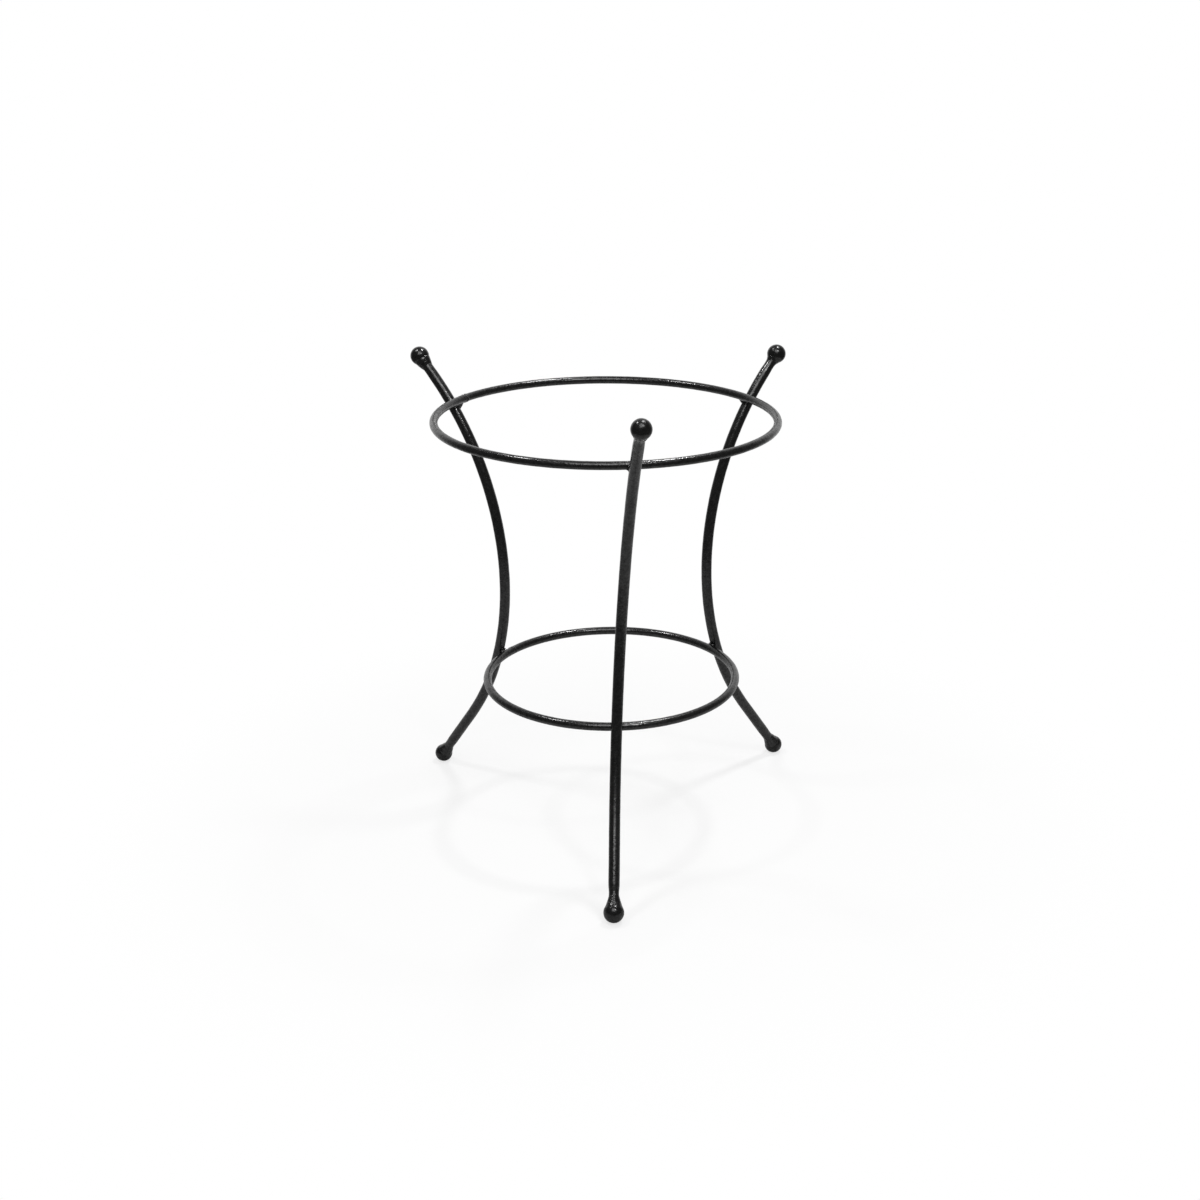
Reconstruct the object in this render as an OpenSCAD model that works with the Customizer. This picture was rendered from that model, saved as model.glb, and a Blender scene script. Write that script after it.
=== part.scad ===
// Tripod plant stand in welded steel rod: three bowed legs with a ball on each
// end, and two rings that sit inside the legs and are welded to them.
// Origin on the rings' axis at floor level, +Z up, -Y towards the front leg.

/* [Rings] */
// Inside diameter of the top ring, which takes the pot
top_ring_inner_d = 250; // [220:1:290]
// Height of the middle of the top ring above the floor
top_ring_height = 325; // [290:1:345]
// Tilt of the top ring, in degrees, which lifts its left side
top_ring_tilt = 1.2; // [-1.6:0.1:1.6]
// Inside diameter of the lower ring
lower_ring_inner_d = 188.5; // [160:0.5:220]
// Height of the middle of the lower ring above the floor
lower_ring_height = 117.5; // [95:0.5:150]
// Tilt of the lower ring, in degrees, which lifts its left side
lower_ring_tilt = 0.7; // [-1.6:0.1:1.6]
// Diameter of the rod that the rings are bent from
ring_rod_d = 6; // [4:0.5:8]
// Gap between the two ends of a ring, closed by its butt weld
ring_end_gap = 1.6; // [0.8:0.1:2.4]
// Distance along a ring from the left leg to the butt weld
butt_weld_distance = 10; // [9:1:40]

/* [Legs] */
// Diameter of the leg rod
leg_rod_d = 8; // [6:0.5:9]
// Radius of the bow, to the rod's centre line
bow_r = 226; // [215:1:340]
// Straight length under a finial, from the ball's centre to the bow
finial_straight = 12.5; // [12:0.5:24]
// Straight length above a foot, from the ball's centre to the bow
foot_straight = 60; // [20:1:80]
// How much thinner in radius the straight ends are dressed for the balls
end_dressing = 0.05; // [0.03:0.01:0.1]
// Gap left between the legs and the rings before they are welded
fit_gap = 0.2; // [0.2:0.05:0.5]

/* [Front leg] */
// Direction of the front leg's bow round the axis, in degrees from +X
front_angle = -87.5; // [-95:0.5:-80]
// Sideways distance of the front leg's bow from the axis
front_offset = 6; // [-8:0.5:10]
// Sideways lean of the front leg, in degrees
front_lean = 4.1; // [-4:0.1:5]
// Height of the front finial's centre
front_finial_height = 360; // [354:0.5:366]
// Fillet radius of the weld under the front finial
front_finial_fillet = 14; // [3:0.5:14]
// Fillet radius of the weld above the front foot
front_foot_fillet = 14; // [3:0.5:14]

/* [Left leg] */
// Direction of the left leg's bow round the axis, in degrees from +X
left_angle = 142.5; // [138:0.5:153]
// Sideways distance of the left leg's bow from the axis
left_offset = 20; // [0:0.5:22]
// Sideways lean of the left leg, in degrees
left_lean = 2.5; // [-4:0.1:4]
// Height of the left finial's centre
left_finial_height = 359; // [354:0.5:366]
// Fillet radius of the weld under the left finial
left_finial_fillet = 14; // [3:0.5:14]
// Fillet radius of the weld above the left foot
left_foot_fillet = 14; // [3:0.5:14]

/* [Right leg] */
// Direction of the right leg's bow round the axis, in degrees from +X
right_angle = 37; // [28:0.5:42]
// Sideways distance of the right leg's bow from the axis
right_offset = -7.5; // [-12:0.5:8]
// Sideways lean of the right leg, in degrees
right_lean = -1.5; // [-4:0.1:4]
// Height of the right finial's centre
right_finial_height = 352; // [350:0.5:362]
// Fillet radius of the weld under the right finial
right_finial_fillet = 6; // [3:0.5:14]
// Fillet radius of the weld above the right foot
right_foot_fillet = 14; // [3:0.5:14]

/* [Balls] */
// Diameter of the finials and feet
ball_d = 14.3; // [13:0.1:18]
// Depth of the blind hole in each ball, below the ball's surface
socket_depth = 4; // [3:0.25:6]
// Radial clearance of a dressed rod end in its blind hole
socket_clearance = 0.1; // [0.05:0.05:0.3]

/* [Welds] */
// Thickness of a ball weld where it runs out
weld_lip = 0.25; // [0.2:0.05:0.5]
// Height of a butt weld's crown above the ring rod
weld_crown = 0.4; // [0.25:0.05:0.8]
// Diameter of one puddle of a joint weld
puddle_d = 5; // [4.6:0.1:6]
// Spacing of the puddles along the leg
puddle_pitch = 1.7; // [1:0.1:2.4]
// Sideways distance of the puddles from the middle of the leg
puddle_offset = 4.2; // [3.6:0.1:4.8]

/* [Hidden] */

// Facets of a preview round a section, and round a ring or bow
$fn = 96;
bend_fn = 720;

black_paint = [0.05, 0.05, 0.05];
weld_paint = [0.08, 0.08, 0.08];

leg_rod_r = leg_rod_d / 2;
ring_rod_r = ring_rod_d / 2;
ball_r = ball_d / 2;
end_r = leg_rod_r - end_dressing;
lip_r = end_r + weld_lip;

// Distance between the centre lines of a leg and of a ring where they touch
stand_off = leg_rod_r + ring_rod_r + fit_gap;

// From a ball's centre to the rod end in its blind hole
rod_end = ball_r - socket_depth;

// How far a straight end reaches into the bow, to be one with it
end_overlap = 1;

// A ring is given by its centre line radius, its height and its tilt
top = [top_ring_inner_d / 2 + ring_rod_r, top_ring_height, top_ring_tilt];
lower = [lower_ring_inner_d / 2 + ring_rod_r, lower_ring_height, lower_ring_tilt];
function radius(ring) = ring[0];
function height(ring) = ring[1];
function tilt(ring) = ring[2];

// A leg is given by its angle, offset, lean, finial height and two fillets
front = [front_angle, front_offset, front_lean, front_finial_height,
         front_finial_fillet, front_foot_fillet];
left = [left_angle, left_offset, left_lean, left_finial_height,
        left_finial_fillet, left_foot_fillet];
right = [right_angle, right_offset, right_lean, right_finial_height,
         right_finial_fillet, right_foot_fillet];
function angle(leg) = leg[0];
function offset_of(leg) = leg[1];
function lean(leg) = leg[2];
function finial_height(leg) = leg[3];
function finial_fillet(leg) = leg[4];
function foot_fillet(leg) = leg[5];

// A leg lies in a plane of its own: x points outwards and y up along the lean,
// from a point on the axis halfway between the rings
mid_height = (top_ring_height + lower_ring_height) / 2;
function rise(leg, z) = (z - mid_height) / cos(lean(leg));
function aside(leg, z) = offset_of(leg) + (z - mid_height) * tan(lean(leg));

// Direction round the axis in which a leg meets a ring, and the ring's height there
function direction(leg, ring) = angle(leg) + asin(aside(leg, height(ring)) / radius(ring));
function height_at(leg, ring) =
    height(ring) - radius(ring) * cos(direction(leg, ring)) * tan(tilt(ring));

// Where a ring's centre line passes through the plane of a leg
function crossing(leg, ring) =
    let (z = height_at(leg, ring))
    [sqrt(radius(ring)^2 - aside(leg, z)^2), rise(leg, z)];

// Centre of a leg's bow: it puts the rod against both rings
function bow_centre(leg) =
    let (p = crossing(leg, top))
    let (q = crossing(leg, lower))
    let (half = norm(p - q) / 2)
    let (outward = [p.y - q.y, q.x - p.x] / (2 * half))
    (p + q) / 2 + outward * sqrt((bow_r + stand_off)^2 - half^2);

// Angle of bow before a straight end, for a ball at the far end of the straight
// whose centre is at a given rise above or below the bow's centre
function sweep(rise_from_centre, straight) =
    asin(rise_from_centre / norm([bow_r, straight])) - atan2(straight, bow_r);
function top_sweep(leg) =
    sweep(rise(leg, finial_height(leg)) - bow_centre(leg).y, finial_straight);
function foot_sweep(leg) =
    sweep(bow_centre(leg).y - rise(leg, ball_r), foot_straight);

// Places what is drawn in a leg's plane, as x and z, in the stand
module in_plane(leg) {
    rotate([0, 0, angle(leg)])
        translate([0, offset_of(leg), mid_height])
            rotate([-lean(leg), 0, 0])
                children();
}

// Origin at the centre of a leg's ball, +Z along the rod away from the ball
module at_ball(leg, turn, straight, side) {
    centre = bow_centre(leg);
    in_plane(leg)
        translate([centre.x, 0, centre.y])
            rotate([0, -side * turn, 0])
                translate([-bow_r, 0, side * -straight])
                    rotate([0, side < 0 ? 180 : 0, 0])
                        children();
}

module at_finial(leg) {
    at_ball(leg, top_sweep(leg), finial_straight, -1) children();
}

module at_foot(leg) {
    at_ball(leg, foot_sweep(leg), foot_straight, 1) children();
}

// Origin midway between leg and ring, +X outwards and +Z up along the leg
module at_joint(leg, ring) {
    contact = crossing(leg, ring);
    outward = bow_centre(leg) - contact;
    in_plane(leg)
        translate([contact.x, 0, contact.y])
            rotate([0, -atan2(outward.y, outward.x), 0])
                translate([ring_rod_r + fit_gap / 2, 0, 0])
                    children();
}

// Bent part of a leg, between its straight ends
module bow(leg) {
    centre = bow_centre(leg);
    in_plane(leg)
        translate([centre.x, 0, centre.y])
            rotate([90, 0, 0])
                rotate([0, 0, 180 - top_sweep(leg)])
                    rotate_extrude(angle = top_sweep(leg) + foot_sweep(leg), $fn = bend_fn)
                        translate([bow_r, 0])
                            circle(r = leg_rod_r);
}

// Straight end, from the bottom of the ball's blind hole into the bow
module straight_end(straight) {
    translate([0, 0, rod_end])
        cylinder(h = straight - rod_end + end_overlap, r = end_r);
}

// Origin in the middle of a ring, in the ring's own plane
module in_ring(ring) {
    translate([0, 0, height(ring)])
        rotate([0, tilt(ring), 0])
            children();
}

// Direction of the gap between a ring's ends, beside the left leg
function degrees_along(ring, length) = length / radius(ring) * 180 / PI;
function gap_direction(ring) =
    direction(left, ring) - degrees_along(ring, butt_weld_distance);

// Origin at the middle of a ring's gap, +Y along the rod
module at_gap(ring) {
    in_ring(ring)
        rotate([0, 0, gap_direction(ring)])
            translate([radius(ring), 0, 0])
                children();
}

// Rod bent to a circle, with its ends sawn square to the gap
module open_ring(ring) {
    difference() {
        in_ring(ring)
            rotate_extrude($fn = bend_fn)
                translate([radius(ring), 0])
                    circle(r = ring_rod_r);
        at_gap(ring)
            cube([2 * ring_rod_d, ring_end_gap, 2 * ring_rod_d], center = true);
    }
}

module leg(leg) {
    color(black_paint) {
        bow(leg);
        at_finial(leg) straight_end(finial_straight);
        at_foot(leg) straight_end(foot_straight);
    }
}

module ring(ring) {
    color(black_paint) open_ring(ring);
}

// Solid ball with a blind hole for the rod end
module ball() {
    color(black_paint)
        difference() {
            sphere(r = ball_r);
            translate([0, 0, rod_end])
                cylinder(h = ball_d, r = end_r + socket_clearance);
        }
}

// Hollow-sided weld round a straight end, run out to a thin lip on ball and rod
module ball_weld(fillet) {
    across = lip_r + fillet;
    along = sqrt((ball_r + weld_lip + fillet)^2 - across^2);
    color(weld_paint)
        rotate_extrude()
            difference() {
                polygon([[0, 0], [across, along], [0, along]]);
                translate([across, along]) circle(r = fillet, $fn = bend_fn);
                circle(r = ball_r);
                square([2 * end_r, 2 * along + ball_d], center = true);
            }
}

// A run of puddles down each side of a leg, bedded on leg and ring
module joint_weld(leg, ring) {
    color(weld_paint)
        difference() {
            at_joint(leg, ring)
                for (side = [-1, 1], step = [-1:1])
                    translate([0, side * puddle_offset, step * puddle_pitch - puddle_pitch / 2])
                        sphere(d = puddle_d);
            bow(leg);
            open_ring(ring);
        }
}

// Bead that closes the gap between a ring's ends, with a low round crown
module butt_weld(ring) {
    color(weld_paint)
        at_gap(ring)
            rotate([90, 0, 0])
                rotate_extrude()
                    intersection() {
                        circle(r = ring_rod_r + weld_crown);
                        translate([0, -ring_end_gap / 2])
                            square([ring_rod_d, ring_end_gap]);
                    }
}

leg(front);  // leg_front
leg(left);  // leg_left
leg(right);  // leg_right
ring(top);  // top_ring
ring(lower);  // lower_ring
at_finial(front) ball();  // finial_front
at_finial(left) ball();  // finial_left
at_finial(right) ball();  // finial_right
at_foot(front) ball();  // foot_front
at_foot(left) ball();  // foot_left
at_foot(right) ball();  // foot_right
at_finial(front) ball_weld(finial_fillet(front));  // finial_weld_front
at_finial(left) ball_weld(finial_fillet(left));  // finial_weld_left
at_finial(right) ball_weld(finial_fillet(right));  // finial_weld_right
at_foot(front) ball_weld(foot_fillet(front));  // foot_weld_front
at_foot(left) ball_weld(foot_fillet(left));  // foot_weld_left
at_foot(right) ball_weld(foot_fillet(right));  // foot_weld_right
joint_weld(front, top);  // top_weld_front
joint_weld(left, top);  // top_weld_left
joint_weld(right, top);  // top_weld_right
joint_weld(front, lower);  // lower_weld_front
joint_weld(left, lower);  // lower_weld_left
joint_weld(right, lower);  // lower_weld_right
butt_weld(top);  // top_ring_butt_weld
butt_weld(lower);  // lower_ring_butt_weld
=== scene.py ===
"""A hand-welded plant stand of black-painted round bar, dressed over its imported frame.

Every place comes from the frame: the rods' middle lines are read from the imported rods,
the balls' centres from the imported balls, and the welds sit where those lines meet.
Metres throughout, Z up, the rings' axis on Z and the floor at zero.
"""
import math
import random

import bmesh
import bpy
import numpy as np
from mathutils import Matrix, Vector, noise


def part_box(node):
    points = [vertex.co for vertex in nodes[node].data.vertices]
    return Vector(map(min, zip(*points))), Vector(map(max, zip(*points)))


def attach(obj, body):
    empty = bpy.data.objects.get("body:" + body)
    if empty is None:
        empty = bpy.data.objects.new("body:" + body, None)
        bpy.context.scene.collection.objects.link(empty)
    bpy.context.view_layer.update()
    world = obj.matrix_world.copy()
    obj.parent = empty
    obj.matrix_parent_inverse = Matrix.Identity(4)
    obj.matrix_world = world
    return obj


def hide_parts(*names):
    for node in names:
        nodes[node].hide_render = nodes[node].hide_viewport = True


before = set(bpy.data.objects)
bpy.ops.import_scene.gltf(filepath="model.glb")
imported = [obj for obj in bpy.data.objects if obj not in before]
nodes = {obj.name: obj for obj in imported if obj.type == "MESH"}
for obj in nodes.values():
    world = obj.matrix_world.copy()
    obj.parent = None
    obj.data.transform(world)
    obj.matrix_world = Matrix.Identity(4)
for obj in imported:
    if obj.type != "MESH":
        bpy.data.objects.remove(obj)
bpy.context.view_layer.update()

MM = 0.001
LEGS = ("front", "left", "right")
RINGS = ("top", "lower")

# Stock sizes, the same as the frame's
LEG_ROD_R = 4 * MM
RING_ROD_R = 3 * MM
BALL_R = 7.15 * MM
ROD_END = 3.15 * MM  # from a ball's centre to the rod's end in its socket
RING_HALF_GAP = 0.8 * MM  # half the joint that a ring's butt weld fills

# Thickness of the paint, which lies thin on the top ring and heavy on the lower one
LEG_FILM = 0.16 * MM
RING_FILMS = {"top": 0.1 * MM, "lower": 0.24 * MM}
BALL_FILM = 0.18 * MM
RUNS = {("foot", "front"): 0.2 * MM}  # what more ran down a leg and set on its ball

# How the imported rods' middle lines are read
LEG_CUTS = 120
RING_CUTS = 240
CLEAR_OF_BALL = 9 * MM  # height from a ball's centre to the nearest cut through its leg
CLEAR_OF_GAP = 1.05  # half gaps from a butt weld's middle to the nearest cut through its ring
ASLANT = (0.3, 0.5, 0.8)  # a direction that no cutting plane faces

# How finely the surfaces are made
ROD_STEP = 0.5 * MM
LEG_SIDES = 36
RING_SIDES = 30
BALL_SUBDIVISIONS = 5
WELD_SIDES = 64
WELD_ROWS = 22
BEAD_GRID = 0.32  # millimetres, between the points of a melted bead

# Hand-worked, painted steel has slow dents, with scale on them: how long, and how deep
ROD_DENT_LENGTH = 9 * MM
ROD_DENT = 0.05 * MM  # and the whole rod is set in by as much, so that dents only go in
BALL_DENT_LENGTH = 5 * MM
BALL_DENT = 0.06 * MM
BALL_INSET = 0.6  # the share of a dent by which the whole ball is set in
SCALE_LENGTH = 2.6 * MM
ROD_SCALE = 0.03 * MM
BALL_SCALE = 0.02 * MM
WELD_SCALE = 0.03 * MM

# Hollow radius of the weld between each ball and its rod: all but one were built up long
SHORT_HOLLOW = 6 * MM
LONG_HOLLOW = 14 * MM
HOLLOWS = {
    ("finial", "front"): LONG_HOLLOW,
    ("finial", "left"): LONG_HOLLOW,
    ("finial", "right"): SHORT_HOLLOW,
    ("foot", "front"): LONG_HOLLOW,
    ("foot", "left"): LONG_HOLLOW,
    ("foot", "right"): LONG_HOLLOW,
}

# How much metal fills the hollow, at its middle
FILLS = {
    ("finial", "front"): 0.5 * MM,
    ("finial", "left"): 0.7 * MM,
    ("finial", "right"): 0.1 * MM,
    ("foot", "front"): 0.25 * MM,
    ("foot", "left"): 0.5 * MM,
    ("foot", "right"): 0.5 * MM,
}

# Heat and dressing thin a rod a little just past such a weld: how much of its radius is gone
THINNED = {
    ("finial", "front"): 0.05,
    ("finial", "left"): 0.03,
    ("finial", "right"): 0.07,
    ("foot", "front"): 0.11,
    ("foot", "left"): 0.05,
    ("foot", "right"): 0.05,
}
THINNEST_PAST_WELD = 3 * MM
THINNED_EACH_WAY = 4 * MM

# The weld's own surface: an uneven hollow, ripples left by the puddle, and lumps
ONE_SIDED, THREE_SIDED = 0.16, 0.08  # the shares by which the hollow grows on one side and on three
RIPPLE_PITCH = 1.5 * MM
RIPPLE_SLANT = 1.5  # radians by which a ripple leads on the long side
RIPPLE_DEPTH = 0.035 * MM
WELD_LUMP_LENGTH = 2.6 * MM
WELD_LUMP = 0.16 * MM
LUMP_AT_EDGES = 0.15  # the share of a lump that is left at the weld's two edges
CELLS_PER_METRE = 40  # of the noise that turns each weld its own way

# How the weld's closed ends are buried: its wide end in the ball, its narrow end in the rod
IN_BALL_ALONG, IN_BALL_ACROSS = 0.8 * MM, 0.7 * MM
IN_ROD_ALONG, IN_ROD_ACROSS = 1.5 * MM, 0.4 * MM

# Melted drops of a joint weld on one side of the leg, in millimetres from the crossing: out
# towards the leg, along the ring, along the leg to where the two run together, and radius
WEB_DROPS = (
    (0.0, 2.6, 1.4, 1.9),
    (-0.4, 4.1, 0.9, 1.4),
    (-0.7, 5.5, 0.7, 0.9),
    (0.7, 2.9, 2.4, 1.3),
    (1.5, 2.6, 3.2, 0.8),
    (0.0, 2.8, -1.2, 1.5),
)
WEB_STRAY = 0.2  # millimetres that a drop may lie off its place, each way
MELT_REACH = 6 * MM  # how far along each rod the melted metal is shaped with it
HIDDEN = 0.25 * MM  # and how far under the rod's surface it starts

# How large the web is on either side of a leg: against the ring's direction, and with it
WEB_SIZES = {
    ("top", "front"): (0.85, 0.85),
    ("top", "left"): (1.3, 0.9),
    ("top", "right"): (0.9, 1.05),
    ("lower", "front"): (0.7, 0.7),
    ("lower", "left"): (0.75, 0.7),
    ("lower", "right"): (0.7, 0.75),
}

# A ring's butt weld, in millimetres: a core along the joint, and drops scattered round it
CORE_PLACES = (-1.2, 0, 1.2)
CORE_R = 2.6
BUTT_DROPS = 28
BUTT_DROP_OUT = 2.2  # from the rod's middle
BUTT_DROP_SLIP = 2.4  # along the rod, either way
BUTT_DROP_RADII = (0.7, 1.1)

# Melted metal's own surface, and how Blender's metaballs make it
BEAD_LUMP_LENGTH = 1.6 * MM
BEAD_LUMP = 0.12 * MM
MELT_THRESHOLD = 0.6
SHOWN_SHARE = 0.575  # of its radius that a lone metaball shows at that threshold
MELT_SEED = 11  # of the drops' places and sizes


# ---------------------------------------------------------------- middle lines

def mesh_arrays(node):
    """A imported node's points, and the pairs of them that its edges join."""
    mesh = nodes[node].data
    points = np.empty(len(mesh.vertices) * 3)
    mesh.vertices.foreach_get("co", points)
    edges = np.empty(len(mesh.edges) * 2, int)
    mesh.edges.foreach_get("vertices", edges)
    return points.reshape(-1, 3), edges.reshape(-1, 2)


def outline_centre(outline, normal):
    """Centre of the area inside a flat outline, whose points may come in any order."""
    across = np.cross(normal, ASLANT)
    across /= np.linalg.norm(across)
    along = np.cross(normal, across)
    middle = outline.mean(0)
    flat = np.stack([(outline - middle) @ across, (outline - middle) @ along], 1)
    flat = flat[np.argsort(np.arctan2(flat[:, 1], flat[:, 0]))]
    after = np.roll(flat, -1, 0)
    twice = flat[:, 0] * after[:, 1] - after[:, 0] * flat[:, 1]
    centre = ((flat + after) * twice[:, None]).sum(0) / (3 * twice.sum())
    return middle + across * centre[0] + along * centre[1]


def cut_centre(points, edges, origin, normal, towards=None):
    """Centre of the outline that a plane cuts from a rod, on the side that towards names."""
    above = (points - origin) @ normal
    low, high = above[edges[:, 0]], above[edges[:, 1]]
    crossing = low * high < 0
    share = (low / (low - high))[crossing, None]
    start, end = points[edges[crossing, 0]], points[edges[crossing, 1]]
    outline = start + (end - start) * share
    if towards is not None:
        outline = outline[outline @ towards > 0]
    return outline_centre(outline, normal)


def box_centre(node):
    """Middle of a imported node's box."""
    low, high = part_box(node)
    return (low + high) / 2


def leg_line(leg):
    """Points up a leg's middle, from the foot's centre to the finial's."""
    foot, finial = box_centre("foot_" + leg), box_centre("finial_" + leg)
    points, edges = mesh_arrays("leg_" + leg)
    up = np.array((0, 0, 1.0))
    levels = np.linspace(foot.z + CLEAR_OF_BALL, finial.z - CLEAR_OF_BALL, LEG_CUTS)
    cuts = [cut_centre(points, edges, up * level, up) for level in levels]
    return np.array([foot, *cuts, finial])


def ring_line(ring):
    """Points round a ring's middle, from one side of its butt weld to the other."""
    weld = box_centre(ring + "_ring_butt_weld")
    points, edges = mesh_arrays(ring + "_ring")
    start = math.atan2(weld.y, weld.x)
    half_gap = CLEAR_OF_GAP * RING_HALF_GAP / weld.xy.length
    cuts = []
    for angle in np.linspace(start + half_gap, start + 2 * math.pi - half_gap, RING_CUTS):
        outwards = np.array((math.cos(angle), math.sin(angle), 0))
        round_z = np.array((-outwards[1], outwards[0], 0))
        cuts.append(cut_centre(points, edges, np.zeros(3), round_z, outwards))
    return np.array(cuts)


def line_length(line):
    """How long a line of points is."""
    return float(np.linalg.norm(np.diff(line, axis=0), axis=1).sum())


def even_steps(line, step, trim=0.0):
    """The line's points at even steps, less trim at each end, with directions and lengths there."""
    runs = np.linalg.norm(np.diff(line, axis=0), axis=1)
    reach = np.concatenate([[0], np.cumsum(runs)])
    count = max(2, round((reach[-1] - 2 * trim) / step))
    at = np.linspace(trim, reach[-1] - trim, count)
    even = np.stack([np.interp(at, reach, line[:, k]) for k in range(3)], 1)
    directions = np.gradient(even, axis=0)
    directions /= np.linalg.norm(directions, axis=1)[:, None]
    return even, directions, at


def nearest(line, other):
    """The two lines' closest points and their directions there, as vectors."""
    here, along, _ = even_steps(line, ROD_STEP)
    there, other_along, _ = even_steps(other, ROD_STEP)
    gaps = np.linalg.norm(here[:, None] - there[None], axis=2)
    i, k = np.unravel_index(gaps.argmin(), gaps.shape)
    return Vector(here[i]), Vector(there[k]), Vector(along[i]), Vector(other_along[k])


# ---------------------------------------------------------------- surfaces

def scale_at(place, depth):
    """Height of the fine scale on worked, painted steel at a place."""
    increment, lacunarity, octaves = 0.8, 2.0, 2
    return depth * noise.fractal(place / SCALE_LENGTH, increment, lacunarity, octaves)


def finished(piece, slot, *replaced):
    piece.data.shade_smooth()
    piece.data.materials.append(paints[slot])
    bpy.context.scene.collection.objects.link(piece)
    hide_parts(*replaced)
    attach(piece, "root")
    return piece


def new_piece(name, points, faces, slot, *replaced):
    """A finished piece made of points and faces."""
    mesh = bpy.data.meshes.new(name)
    mesh.from_pydata([tuple(p) for p in points], [], faces)
    mesh.validate()
    return finished(bpy.data.objects.new(name, mesh), slot, *replaced)


def tube_faces(rows, sides):
    """Faces of a closed tube, whose points come in rows that each run once round it."""
    faces = [tuple(reversed(range(sides))), tuple(range((rows - 1) * sides, rows * sides))]
    for row in range(rows - 1):
        for k in range(sides):
            low = row * sides + k
            low_next = row * sides + (k + 1) % sides
            faces.append((low, low_next, low_next + sides, low + sides))
    return faces


def swept_rod(line, radius_at, sides, trim):
    """Points and faces of a round bar along its middle line, uneven as hand-bent stock is."""
    middle, directions, reach = even_steps(line, ROD_STEP, trim)
    side = Vector(directions[0]).orthogonal().normalized()
    points = []
    for place, direction, at in zip(middle, directions, reach):
        direction = Vector(direction)
        side = (side - direction * side.dot(direction)).normalized()
        other = direction.cross(side)
        radius = radius_at(at)
        for k in range(sides):
            turn = 2 * math.pi * k / sides
            out = side * math.cos(turn) + other * math.sin(turn)
            surface = Vector(place) + out * radius
            dent = ROD_DENT * noise.noise(surface / ROD_DENT_LENGTH)
            points.append(surface + out * (dent + scale_at(surface, ROD_SCALE) - ROD_DENT))
    return points, tube_faces(len(middle), sides)


# ---------------------------------------------------------------- paint

# How long the features of the paint are across its surface
FILM_CLOUDS = 3.5 * MM
GLOSS_PATCHES = 6 * MM
DUST_SPECKS = 1.8 * MM
COAT_SPECKS = 2.4 * MM
ORANGE_PEEL = 1.3 * MM
FINE_GRAIN = 0.45 * MM
NOISE_ROUGHNESS = 0.55

# What the noise has to fall under and rise over for a pattern to be fully on one side
FILM_LIMITS = (0.4, 0.7)
PATCH_LIMITS = (0.35, 0.65)
SPECK_LIMITS = (0.3, 0.7)

BLACK = 0.003  # where the film is thick
WARMTH = 0.97  # blue against red and green where it is thin
COAT_ROUGHNESS = 0.08
SPECULAR_LEVELS = (0.3, 0.65)  # in a dusty pit, and on clean paint
COAT_WEIGHTS = (0.4, 0.9)  # dulled, and whole


def paint_material(name, thin, glosses, shine, peel_depth, grain_depth):
    """Black paint over worked steel: uneven film, orange peel and fine dust in its pits."""
    material = bpy.data.materials.new(name)
    material.use_nodes = True
    tree = material.node_tree
    shader = tree.nodes["Principled BSDF"]
    shader.inputs["Metallic"].default_value = 0.0
    shader.inputs["Coat Roughness"].default_value = COAT_ROUGHNESS
    place = tree.nodes.new("ShaderNodeTexCoord")

    def pattern(feature, detail):
        """Noise that runs through the piece, with features of a length."""
        texture = tree.nodes.new("ShaderNodeTexNoise")
        texture.inputs["Scale"].default_value = 1 / feature
        texture.inputs["Detail"].default_value = detail
        texture.inputs["Roughness"].default_value = NOISE_ROUGHNESS
        tree.links.new(place.outputs["Object"], texture.inputs["Vector"])
        return texture.outputs["Fac"]

    def spread(value, limits, results):
        """The value's range between two limits, stretched to run between two results."""
        node = tree.nodes.new("ShaderNodeMapRange")
        node.inputs["From Min"].default_value = limits[0]
        node.inputs["From Max"].default_value = limits[1]
        node.inputs["To Min"].default_value = results[0]
        node.inputs["To Max"].default_value = results[1]
        tree.links.new(value, node.inputs["Value"])
        return node.outputs["Result"]

    def bump(height, depth):
        """Relief that stands as high as depth where the height is one."""
        node = tree.nodes.new("ShaderNodeBump")
        node.inputs["Strength"].default_value = 1.0
        node.inputs["Distance"].default_value = depth
        tree.links.new(height, node.inputs["Height"])
        return node

    film = tree.nodes.new("ShaderNodeMix")
    film.data_type = "RGBA"
    film.inputs["A"].default_value = (BLACK, BLACK, BLACK, 1)
    film.inputs["B"].default_value = (thin, thin, thin * WARMTH, 1)
    clouds = spread(pattern(FILM_CLOUDS, detail=4), FILM_LIMITS, (0, 1))
    tree.links.new(clouds, film.inputs["Factor"])
    tree.links.new(film.outputs["Result"], shader.inputs["Base Color"])

    patches = spread(pattern(GLOSS_PATCHES, detail=3), PATCH_LIMITS, glosses)
    tree.links.new(patches, shader.inputs["Roughness"])
    levels = [level * shine for level in SPECULAR_LEVELS]
    specks = spread(pattern(DUST_SPECKS, detail=1), SPECK_LIMITS, levels)
    tree.links.new(specks, shader.inputs["Specular IOR Level"])
    weights = [weight * shine for weight in COAT_WEIGHTS]
    sheen = spread(pattern(COAT_SPECKS, detail=1), PATCH_LIMITS, weights)
    tree.links.new(sheen, shader.inputs["Coat Weight"])

    peel = bump(pattern(ORANGE_PEEL, detail=1), peel_depth)
    fine = bump(pattern(FINE_GRAIN, detail=2), grain_depth)
    tree.links.new(peel.outputs["Normal"], fine.inputs["Normal"])
    tree.links.new(fine.outputs["Normal"], shader.inputs["Normal"])
    tree.links.new(peel.outputs["Normal"], shader.inputs["Coat Normal"])
    return material


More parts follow.
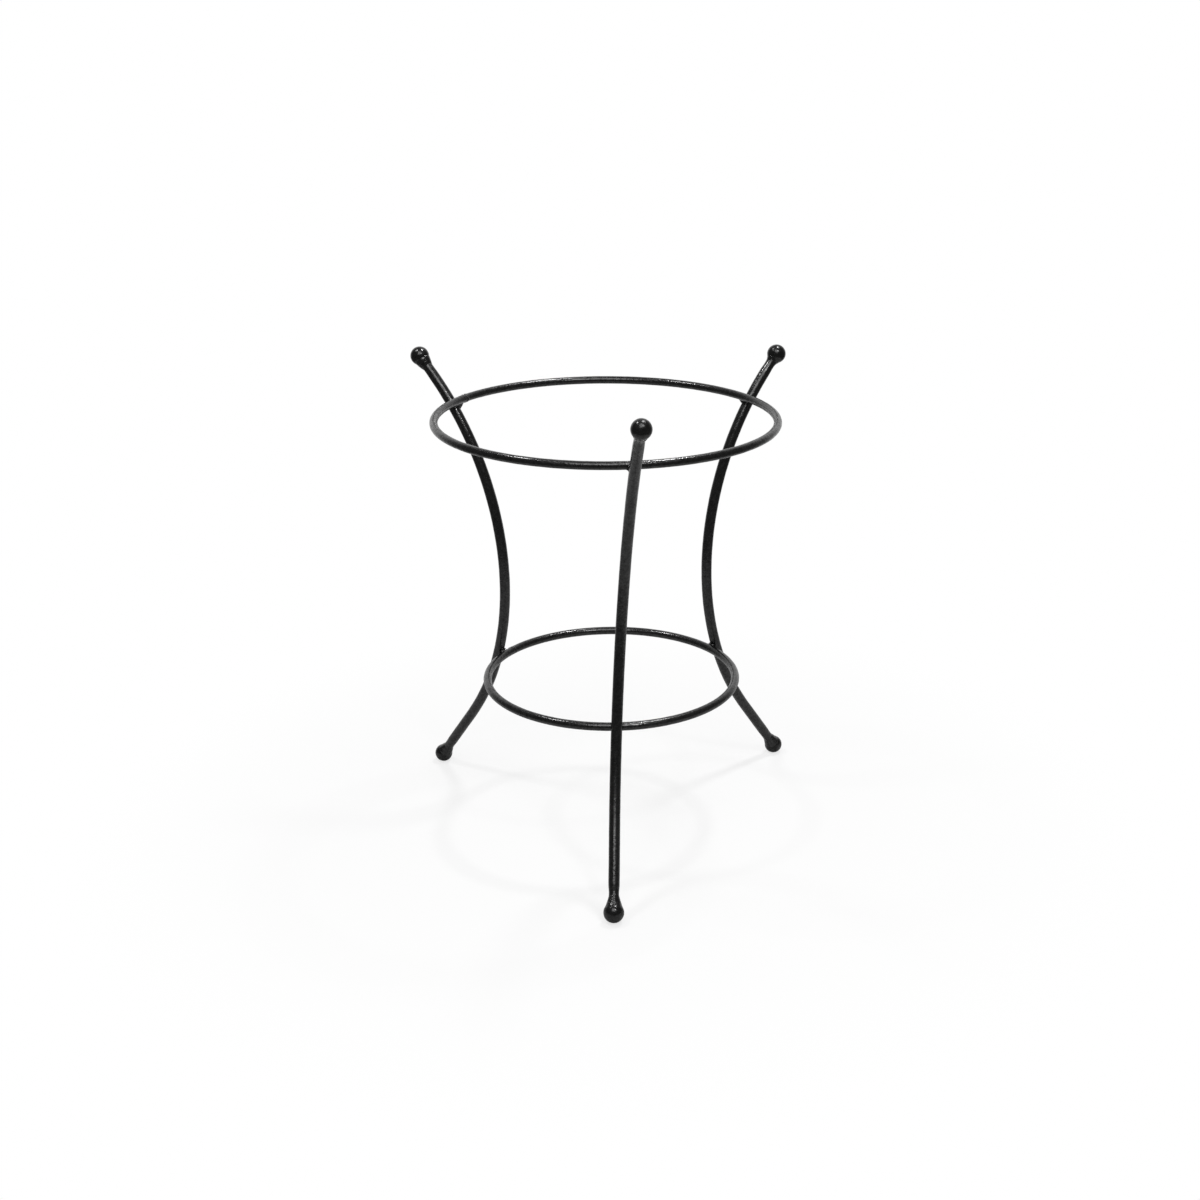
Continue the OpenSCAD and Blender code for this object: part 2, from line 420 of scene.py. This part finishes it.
# For each slot: how pale the film is where it is thin, its roughness from gloss to satin,
# how much it shines, and how deep its orange peel and its grain are
PAINTS = {
    "rod_paint": (0.007, (0.24, 0.38), 1.0, 0.12 * MM, 0.012 * MM),
    "ball_paint": (0.006, (0.2, 0.34), 0.8, 0.09 * MM, 0.01 * MM),
    "weld_paint": (0.008, (0.2, 0.34), 1.0, 0.16 * MM, 0.02 * MM),
}
paints = {slot: paint_material(slot, *look) for slot, look in PAINTS.items()}


# ---------------------------------------------------------------- rods

leg_lines = {leg: leg_line(leg) for leg in LEGS}
ring_lines = {ring: ring_line(ring) for ring in RINGS}


def hollow_reach(hollow):
    """How far along the rod a ball's weld reaches from the ball's centre, without the paint."""
    return math.sqrt((BALL_R + hollow) ** 2 - (LEG_ROD_R + hollow) ** 2)


def thinning(end, leg, from_ball):
    """How much of a leg's radius is gone at a distance from the centre of the ball at that end."""
    past_thinnest = from_ball - hollow_reach(HOLLOWS[end, leg]) - THINNEST_PAST_WELD
    return LEG_ROD_R * THINNED[end, leg] * math.exp(-((past_thinnest / THINNED_EACH_WAY) ** 2))


def make_leg_rod(leg):
    """A leg's rod, thinned just past its two welds, with its ends in the sockets of the balls."""
    length = line_length(leg_lines[leg])

    def radius_at(at):
        """The painted rod's radius at a length up from the foot's centre."""
        lost = thinning("foot", leg, at) + thinning("finial", leg, length - at)
        return LEG_ROD_R + LEG_FILM - lost

    points, faces = swept_rod(leg_lines[leg], radius_at, LEG_SIDES, ROD_END)
    new_piece("rod_" + leg, points, faces, "rod_paint", "leg_" + leg)


def make_hoop(ring):
    """A ring's rod, open where its butt weld closes it."""
    radius = RING_ROD_R + RING_FILMS[ring]
    points, faces = swept_rod(ring_lines[ring], lambda at: radius, RING_SIDES, 0)
    new_piece("hoop_" + ring, points, faces, "rod_paint", ring + "_ring")


for leg in LEGS:
    make_leg_rod(leg)
for ring in RINGS:
    make_hoop(ring)


# ---------------------------------------------------------------- balls

def make_ball(end, leg):
    """A solid steel ball, dulled a little out of round by handling and paint."""
    run = RUNS.get((end, leg), 0.0)
    centre = box_centre(f"{end}_{leg}") + Vector((0, 0, run))  # its lowest point stays on the floor
    radius = BALL_R + BALL_FILM + run
    shape = bmesh.new()
    bmesh.ops.create_icosphere(shape, subdivisions=BALL_SUBDIVISIONS, radius=radius)
    for vertex in shape.verts:
        out = vertex.co.normalized()
        place = centre + vertex.co
        dent = (noise.noise(place / BALL_DENT_LENGTH) - BALL_INSET) * BALL_DENT
        vertex.co = place + out * (dent + scale_at(place, BALL_SCALE))
    mesh = bpy.data.meshes.new(f"ball_{end}_{leg}")
    shape.to_mesh(mesh)
    shape.free()
    finished(bpy.data.objects.new(mesh.name, mesh), "ball_paint", f"{end}_{leg}")


def weld_outline(hollow, on_ball, on_rod):
    """Distances along and out from the rod's middle for a hollow fillet from ball to rod."""
    out_at = LEG_ROD_R + on_rod + hollow
    along_at = math.sqrt((BALL_R + on_ball + hollow) ** 2 - out_at**2)
    start = math.atan2(-out_at, -along_at)
    outline = []
    for row in range(WELD_ROWS + 1):
        turn = start + (-math.pi / 2 - start) * row / WELD_ROWS
        outline.append((along_at + hollow * math.cos(turn), out_at + hollow * math.sin(turn)))
    return outline


def make_ball_weld(end, leg):
    """The weld that runs from a ball into its rod, with puddle ripples and uneven toes."""
    line = leg_lines[leg] if end == "foot" else leg_lines[leg][::-1]
    run = RUNS.get((end, leg), 0.0)
    centre = Vector(line[0]) + Vector((0, 0, run))
    along = Vector(line[2] - line[0]).normalized()
    side = along.orthogonal().normalized()
    other = along.cross(side)
    long_side = 2 * math.pi * noise.cell(centre * CELLS_PER_METRE)
    columns = []
    for k in range(WELD_SIDES):
        turn = 2 * math.pi * k / WELD_SIDES
        out = side * math.cos(turn) + other * math.sin(turn)
        one_sided = ONE_SIDED * math.cos(turn - long_side)
        three_sided = THREE_SIDED * math.cos(3 * turn + long_side)
        hollow = HOLLOWS[end, leg] * (1 + one_sided + three_sided)
        outline = weld_outline(hollow, LEG_FILM + run, LEG_FILM)
        slant = RIPPLE_SLANT * math.cos(turn - long_side)

        reach, width = outline[0]
        column = [centre + along * (reach - IN_BALL_ALONG) + out * (width - IN_BALL_ACROSS)]
        for row, (reach, width) in enumerate(outline):
            surface = centre + along * reach + out * (width - thinning(end, leg, reach))
            ripple = RIPPLE_DEPTH * math.sin(2 * math.pi * reach / RIPPLE_PITCH + slant)
            lump = WELD_LUMP * noise.noise(surface / WELD_LUMP_LENGTH)
            fade = math.sin(math.pi * row / WELD_ROWS)  # from nothing at the edges to one between
            lump *= LUMP_AT_EDGES + (1 - LUMP_AT_EDGES) * fade
            lift = lump + (ripple + FILLS[end, leg]) * fade + scale_at(surface, WELD_SCALE)
            column.append(surface + out * lift)
        reach = outline[-1][0] + IN_ROD_ALONG
        width = LEG_ROD_R - thinning(end, leg, reach) - IN_ROD_ACROSS
        column.append(centre + along * reach + out * width)
        columns.append(column)
    rows = len(columns[0])
    points = [column[row] for row in range(rows) for column in columns]
    faces = tube_faces(rows, WELD_SIDES)
    new_piece(f"neck_{end}_{leg}", points, faces, "weld_paint", f"{end}_weld_{leg}")


for leg in LEGS:
    for end in ("foot", "finial"):
        make_ball(end, leg)
        make_ball_weld(end, leg)


# ---------------------------------------------------------------- melted beads

def melted(name, drops, rods):
    """One mesh of drops, each a (place, radius), run together round (place, along, radius) rods.

    The metaballs are laid out in millimetres, and the mesh is brought back to metres.
    """
    data = bpy.data.metaballs.new(name + "_melt")
    data.resolution = BEAD_GRID
    data.render_resolution = BEAD_GRID
    data.threshold = MELT_THRESHOLD
    for place, radius in drops:
        element = data.elements.new(type="BALL")
        element.co = place / MM
        element.radius = radius / MM / SHOWN_SHARE
    for place, along, radius in rods:
        element = data.elements.new(type="CAPSULE")
        element.co = place / MM
        element.rotation = Vector((1, 0, 0)).rotation_difference(along)
        element.size_x = MELT_REACH / MM
        element.radius = radius / MM / SHOWN_SHARE
    melt = bpy.data.objects.new(name + "_melt", data)
    bpy.context.scene.collection.objects.link(melt)
    bpy.context.view_layer.update()
    shown = melt.evaluated_get(bpy.context.evaluated_depsgraph_get())
    mesh = bpy.data.meshes.new_from_object(shown)
    bpy.data.objects.remove(melt)
    bpy.data.metaballs.remove(data)
    mesh.name = name
    mesh.transform(Matrix.Scale(MM, 4))
    return mesh


def finish_bead(name, drops, node, rods=()):
    """Melts the drops into one bead and roughens it, in place of a packed weld."""
    mesh = melted(name, drops, rods)
    shape = bmesh.new()
    shape.from_mesh(mesh)
    shape.normal_update()
    moved = []
    for vertex in shape.verts:
        lump = BEAD_LUMP * noise.noise(vertex.co / BEAD_LUMP_LENGTH)
        moved.append(vertex.co + vertex.normal * (lump + scale_at(vertex.co, WELD_SCALE)))
    for vertex, place in zip(shape.verts, moved):
        vertex.co = place
    shape.to_mesh(mesh)
    shape.free()
    finished(bpy.data.objects.new(name, mesh), "weld_paint", node)


def make_joint_weld(ring, leg, chance):
    """Melted webs that tie a ring to a leg, one in the corner on each side of the leg."""
    on_ring, on_leg, ring_along, leg_along = nearest(ring_lines[ring], leg_lines[leg])
    outwards = (on_leg - on_ring).normalized()
    middle = on_ring + outwards * RING_ROD_R
    closing = -leg_along if ring == "top" else leg_along  # the side where the rods run together
    rods = (
        (on_ring, ring_along, RING_ROD_R - HIDDEN),
        (on_leg, leg_along, LEG_ROD_R - HIDDEN),
    )
    drops = []
    for side, size in zip((-1, 1), WEB_SIZES[ring, leg]):
        for out, aside, down, radius in WEB_DROPS:
            stray = Vector([chance.uniform(-WEB_STRAY, WEB_STRAY) for _ in range(3)])
            place = outwards * out + ring_along * side * aside + closing * down
            drops.append((middle + (place + stray) * size * MM, radius * size * MM))
    finish_bead(f"bead_{ring}_{leg}", drops, f"{ring}_weld_{leg}", rods)


def make_butt_weld(ring, chance):
    """The bead that closes a ring: low, uneven drops scattered round both ends of the rod."""
    line = ring_lines[ring]
    ends = Vector(line[0]), Vector(line[-1])
    middle = (ends[0] + ends[1]) / 2
    along = (ends[0] - ends[1]).normalized()
    side = along.orthogonal().normalized()
    other = along.cross(side)
    drops = [(middle + along * place * MM, CORE_R * MM) for place in CORE_PLACES]
    golden_turn = math.pi * (3 - math.sqrt(5))
    for k in range(BUTT_DROPS):
        out = side * math.cos(k * golden_turn) + other * math.sin(k * golden_turn)
        slip = along * chance.uniform(-BUTT_DROP_SLIP, BUTT_DROP_SLIP)
        radius = chance.uniform(*BUTT_DROP_RADII)
        drops.append((middle + (out * BUTT_DROP_OUT + slip) * MM, radius * MM))
    finish_bead(f"bead_{ring}_butt", drops, ring + "_ring_butt_weld")


chance = random.Random(MELT_SEED)
for ring in RINGS:
    for leg in LEGS:
        make_joint_weld(ring, leg, chance)
    make_butt_weld(ring, chance)


# ---------------------------------------------------------------- camera, stage and light

# The camera, fitted to both rings, the legs and the balls in the photograph
CAMERA_PLACE = Vector((0.00175, -1.25239, 0.64402))
CAMERA_DOWN, CAMERA_YAW, CAMERA_ROLL = (math.radians(a) for a in (20.291, -0.421, -1.380))
CAMERA_LENS = 51.68
SENSOR = 36.0

STAND_MIDDLE = Vector((0, 0, 0.18))  # where the lamps point

FLOOR_RADIUS = 0.5
FLOOR_SIDES = 96
FLOOR_DROP = 0.2 * MM  # room for the paint under the feet
FLOOR_TONE = 0.95
TONE_IN_GLOSS = 0.4  # the photographed paint is dark underneath
NEAR_WHITE = 0.74  # how much of the floor's middle is plain white to the camera
WHITE_FROM, WHITE_TO = 0.3 * FLOOR_RADIUS, 0.9 * FLOOR_RADIUS

# How strongly the room shows in gloss, on the camera's side and behind the stand, and how
# far back a direction has to point for the room to start to brighten and to be brightest
ROOM_IN_FRONT, ROOM_BEHIND = 0.1, 0.65
BRIGHTENS_FROM, BRIGHTENS_TO = 0.35, 0.9
ROOM_FILL = 0.27  # how strongly the room lights matt surfaces, from all round


def add_camera():
    """The camera at the photograph's viewing angle."""
    forward = Vector((
        math.sin(CAMERA_YAW) * math.cos(CAMERA_DOWN),
        math.cos(CAMERA_YAW) * math.cos(CAMERA_DOWN),
        -math.sin(CAMERA_DOWN),
    ))
    level = Vector((math.cos(CAMERA_YAW), -math.sin(CAMERA_YAW), 0))
    upright = level.cross(forward)
    right = level * math.cos(CAMERA_ROLL) + upright * math.sin(CAMERA_ROLL)
    up = upright * math.cos(CAMERA_ROLL) - level * math.sin(CAMERA_ROLL)
    data = bpy.data.cameras.new("camera")
    data.lens = CAMERA_LENS
    data.sensor_width = SENSOR
    data.clip_start = 0.05
    data.clip_end = 100
    camera = bpy.data.objects.new("camera", data)
    turn = Matrix((right, up, -forward)).transposed()
    camera.matrix_world = Matrix.Translation(CAMERA_PLACE) @ turn.to_4x4()
    bpy.context.scene.collection.objects.link(camera)
    bpy.context.scene.camera = camera


def white_for_camera(tree, surface, output):
    """To the camera the floor pales to plain white between two distances from its middle."""
    rays = tree.nodes.new("ShaderNodeLightPath")
    place = tree.nodes.new("ShaderNodeTexCoord")
    length = tree.nodes.new("ShaderNodeVectorMath")
    length.operation = "LENGTH"
    tree.links.new(place.outputs["Object"], length.inputs[0])
    fade = tree.nodes.new("ShaderNodeMapRange")
    fade.interpolation_type = "SMOOTHSTEP"
    fade.inputs["From Min"].default_value = WHITE_FROM
    fade.inputs["From Max"].default_value = WHITE_TO
    fade.inputs["To Min"].default_value = NEAR_WHITE
    tree.links.new(length.outputs["Value"], fade.inputs["Value"])
    share = tree.nodes.new("ShaderNodeMath")
    share.operation = "MULTIPLY"
    tree.links.new(rays.outputs["Is Camera Ray"], share.inputs[0])
    tree.links.new(fade.outputs["Result"], share.inputs[1])
    white = tree.nodes.new("ShaderNodeEmission")
    white.inputs["Strength"].default_value = 1.0
    mix = tree.nodes.new("ShaderNodeMixShader")
    tree.links.new(share.outputs["Value"], mix.inputs[0])
    tree.links.new(surface, mix.inputs[1])
    tree.links.new(white.outputs["Emission"], mix.inputs[2])
    tree.links.new(mix.outputs["Shader"], output)


def floor_material():
    """Plain, pale and matt, but darker where the paint reflects it."""
    material = bpy.data.materials.new("floor")
    material.use_nodes = True
    tree = material.node_tree
    shader = tree.nodes["Principled BSDF"]
    rays = tree.nodes.new("ShaderNodeLightPath")
    tone = tree.nodes.new("ShaderNodeMix")
    tone.data_type = "RGBA"
    tone.inputs["A"].default_value = (FLOOR_TONE, FLOOR_TONE, FLOOR_TONE, 1)
    tone.inputs["B"].default_value = (TONE_IN_GLOSS, TONE_IN_GLOSS, TONE_IN_GLOSS, 1)
    tree.links.new(rays.outputs["Is Glossy Ray"], tone.inputs["Factor"])
    tree.links.new(tone.outputs["Result"], shader.inputs["Base Color"])
    shader.inputs["Roughness"].default_value = 0.9
    shader.inputs["Specular IOR Level"].default_value = 0.0
    output = tree.nodes["Material Output"].inputs["Surface"]
    white_for_camera(tree, shader.outputs["BSDF"], output)
    return material


def add_floor():
    """A round floor just under the feet."""
    mesh = bpy.data.meshes.new("floor")
    shape = bmesh.new()
    bmesh.ops.create_circle(shape, cap_ends=True, segments=FLOOR_SIDES, radius=FLOOR_RADIUS)
    shape.to_mesh(mesh)
    shape.free()
    floor = bpy.data.objects.new("floor", mesh)
    floor.location.z = -FLOOR_DROP
    bpy.context.scene.collection.objects.link(floor)
    mesh.materials.append(floor_material())


def add_world():
    """A room that is white to the camera, and to gloss is bright behind and dark in front."""
    world = bpy.data.worlds.new("studio")
    bpy.context.scene.world = world
    world.use_nodes = True
    tree = world.node_tree
    room = tree.nodes["Background"]
    room.inputs["Color"].default_value = (1, 1, 1, 1)
    place = tree.nodes.new("ShaderNodeTexCoord")
    axes = tree.nodes.new("ShaderNodeSeparateXYZ")
    tree.links.new(place.outputs["Generated"], axes.inputs["Vector"])
    back = tree.nodes.new("ShaderNodeMapRange")
    back.interpolation_type = "SMOOTHSTEP"
    back.inputs["From Min"].default_value = BRIGHTENS_FROM
    back.inputs["From Max"].default_value = BRIGHTENS_TO
    back.inputs["To Min"].default_value = ROOM_IN_FRONT
    back.inputs["To Max"].default_value = ROOM_BEHIND
    tree.links.new(axes.outputs["Y"], back.inputs["Value"])
    tree.links.new(back.outputs["Result"], room.inputs["Strength"])
    rays = tree.nodes.new("ShaderNodeLightPath")
    fill = tree.nodes.new("ShaderNodeBackground")
    fill.inputs["Strength"].default_value = ROOM_FILL
    lit = tree.nodes.new("ShaderNodeMixShader")
    tree.links.new(rays.outputs["Is Diffuse Ray"], lit.inputs[0])
    tree.links.new(room.outputs["Background"], lit.inputs[1])
    tree.links.new(fill.outputs["Background"], lit.inputs[2])
    white = tree.nodes.new("ShaderNodeBackground")
    white.inputs["Color"].default_value = (1, 1, 1, 1)
    mix = tree.nodes.new("ShaderNodeMixShader")
    tree.links.new(rays.outputs["Is Camera Ray"], mix.inputs[0])
    tree.links.new(lit.outputs["Shader"], mix.inputs[1])
    tree.links.new(white.outputs["Background"], mix.inputs[2])
    tree.links.new(mix.outputs["Shader"], tree.nodes["World Output"].inputs["Surface"])


def add_softbox(name, direction, distance, side, power):
    """A square lamp that stands off in a direction and points at the stand's middle."""
    data = bpy.data.lights.new(name, "AREA")
    data.size = side
    data.energy = power
    lamp = bpy.data.objects.new(name, data)
    towards = Vector(direction).normalized()
    lamp.location = STAND_MIDDLE + towards * distance
    lamp.rotation_euler = towards.to_track_quat("Z", "Y").to_euler()
    bpy.context.scene.collection.objects.link(lamp)


add_camera()
add_floor()
add_world()
add_softbox("softbox_right", (0.27, 0.22, 0.93), distance=1.6, side=0.2, power=10.5)
add_softbox("softbox_left", (-0.43, 0.06, 0.90), distance=1.6, side=0.2, power=5.5)
add_softbox("softbox_front", (0.0, -0.60, 0.80), distance=1.7, side=1.0, power=9.0)
add_softbox("lamp_front", (0.31, -0.57, 0.76), distance=1.6, side=0.16, power=2.7)

bpy.context.scene.view_settings.view_transform = "Standard"
